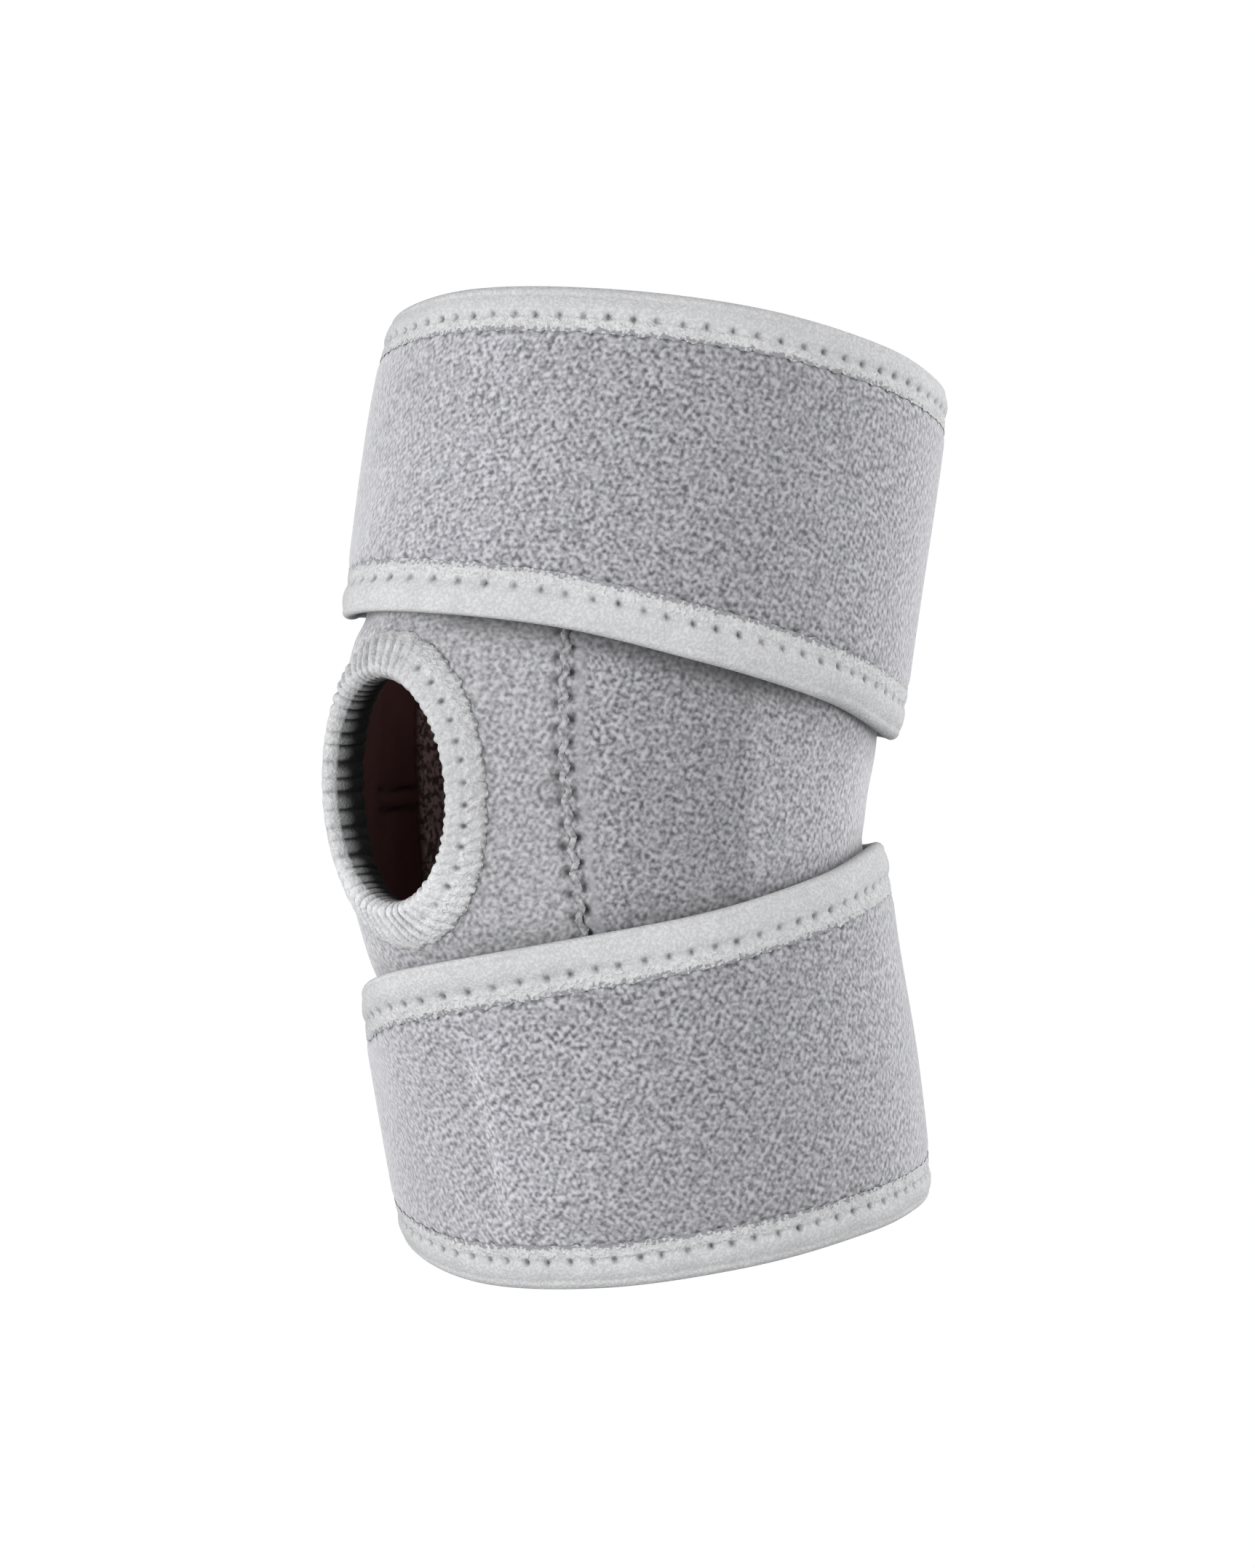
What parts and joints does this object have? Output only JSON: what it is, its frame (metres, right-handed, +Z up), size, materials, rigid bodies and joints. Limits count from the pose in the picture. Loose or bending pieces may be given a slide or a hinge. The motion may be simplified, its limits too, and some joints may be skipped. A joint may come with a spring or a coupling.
{
  "type": "elbow brace",
  "caption": "Padded elbow support sleeve bent as worn, with an open ringed hole over the elbow tip and a wide bound strap closed round the upper arm and the forearm.",
  "frame": {"origin": "on the centre line of the sleeve, level with the hole for the elbow tip, where the arm holds it", "axes": "+Z up along the upper arm, -Y out of the elbow tip, +X to the side that shows in the picture"},
  "size_m": [0.1154, 0.1356, 0.1898],
  "materials": {
    "pile": "matt grey loop pile",
    "tape": "light grey knitted tape",
    "lining": "smooth dark brown knit",
    "hook": "dark hook pad"
  },
  "bodies": {
    "root": {"elbow_panel": "pile", "crook_panel": "pile", "lining": "lining", "elbow_ring": "tape", "upper_strap": "pile", "upper_strap_binding": "tape", "upper_hook_tab": "hook", "lower_strap": "pile", "lower_strap_binding": "tape", "lower_hook_tab": "hook"}
  },
  "joints": []
}
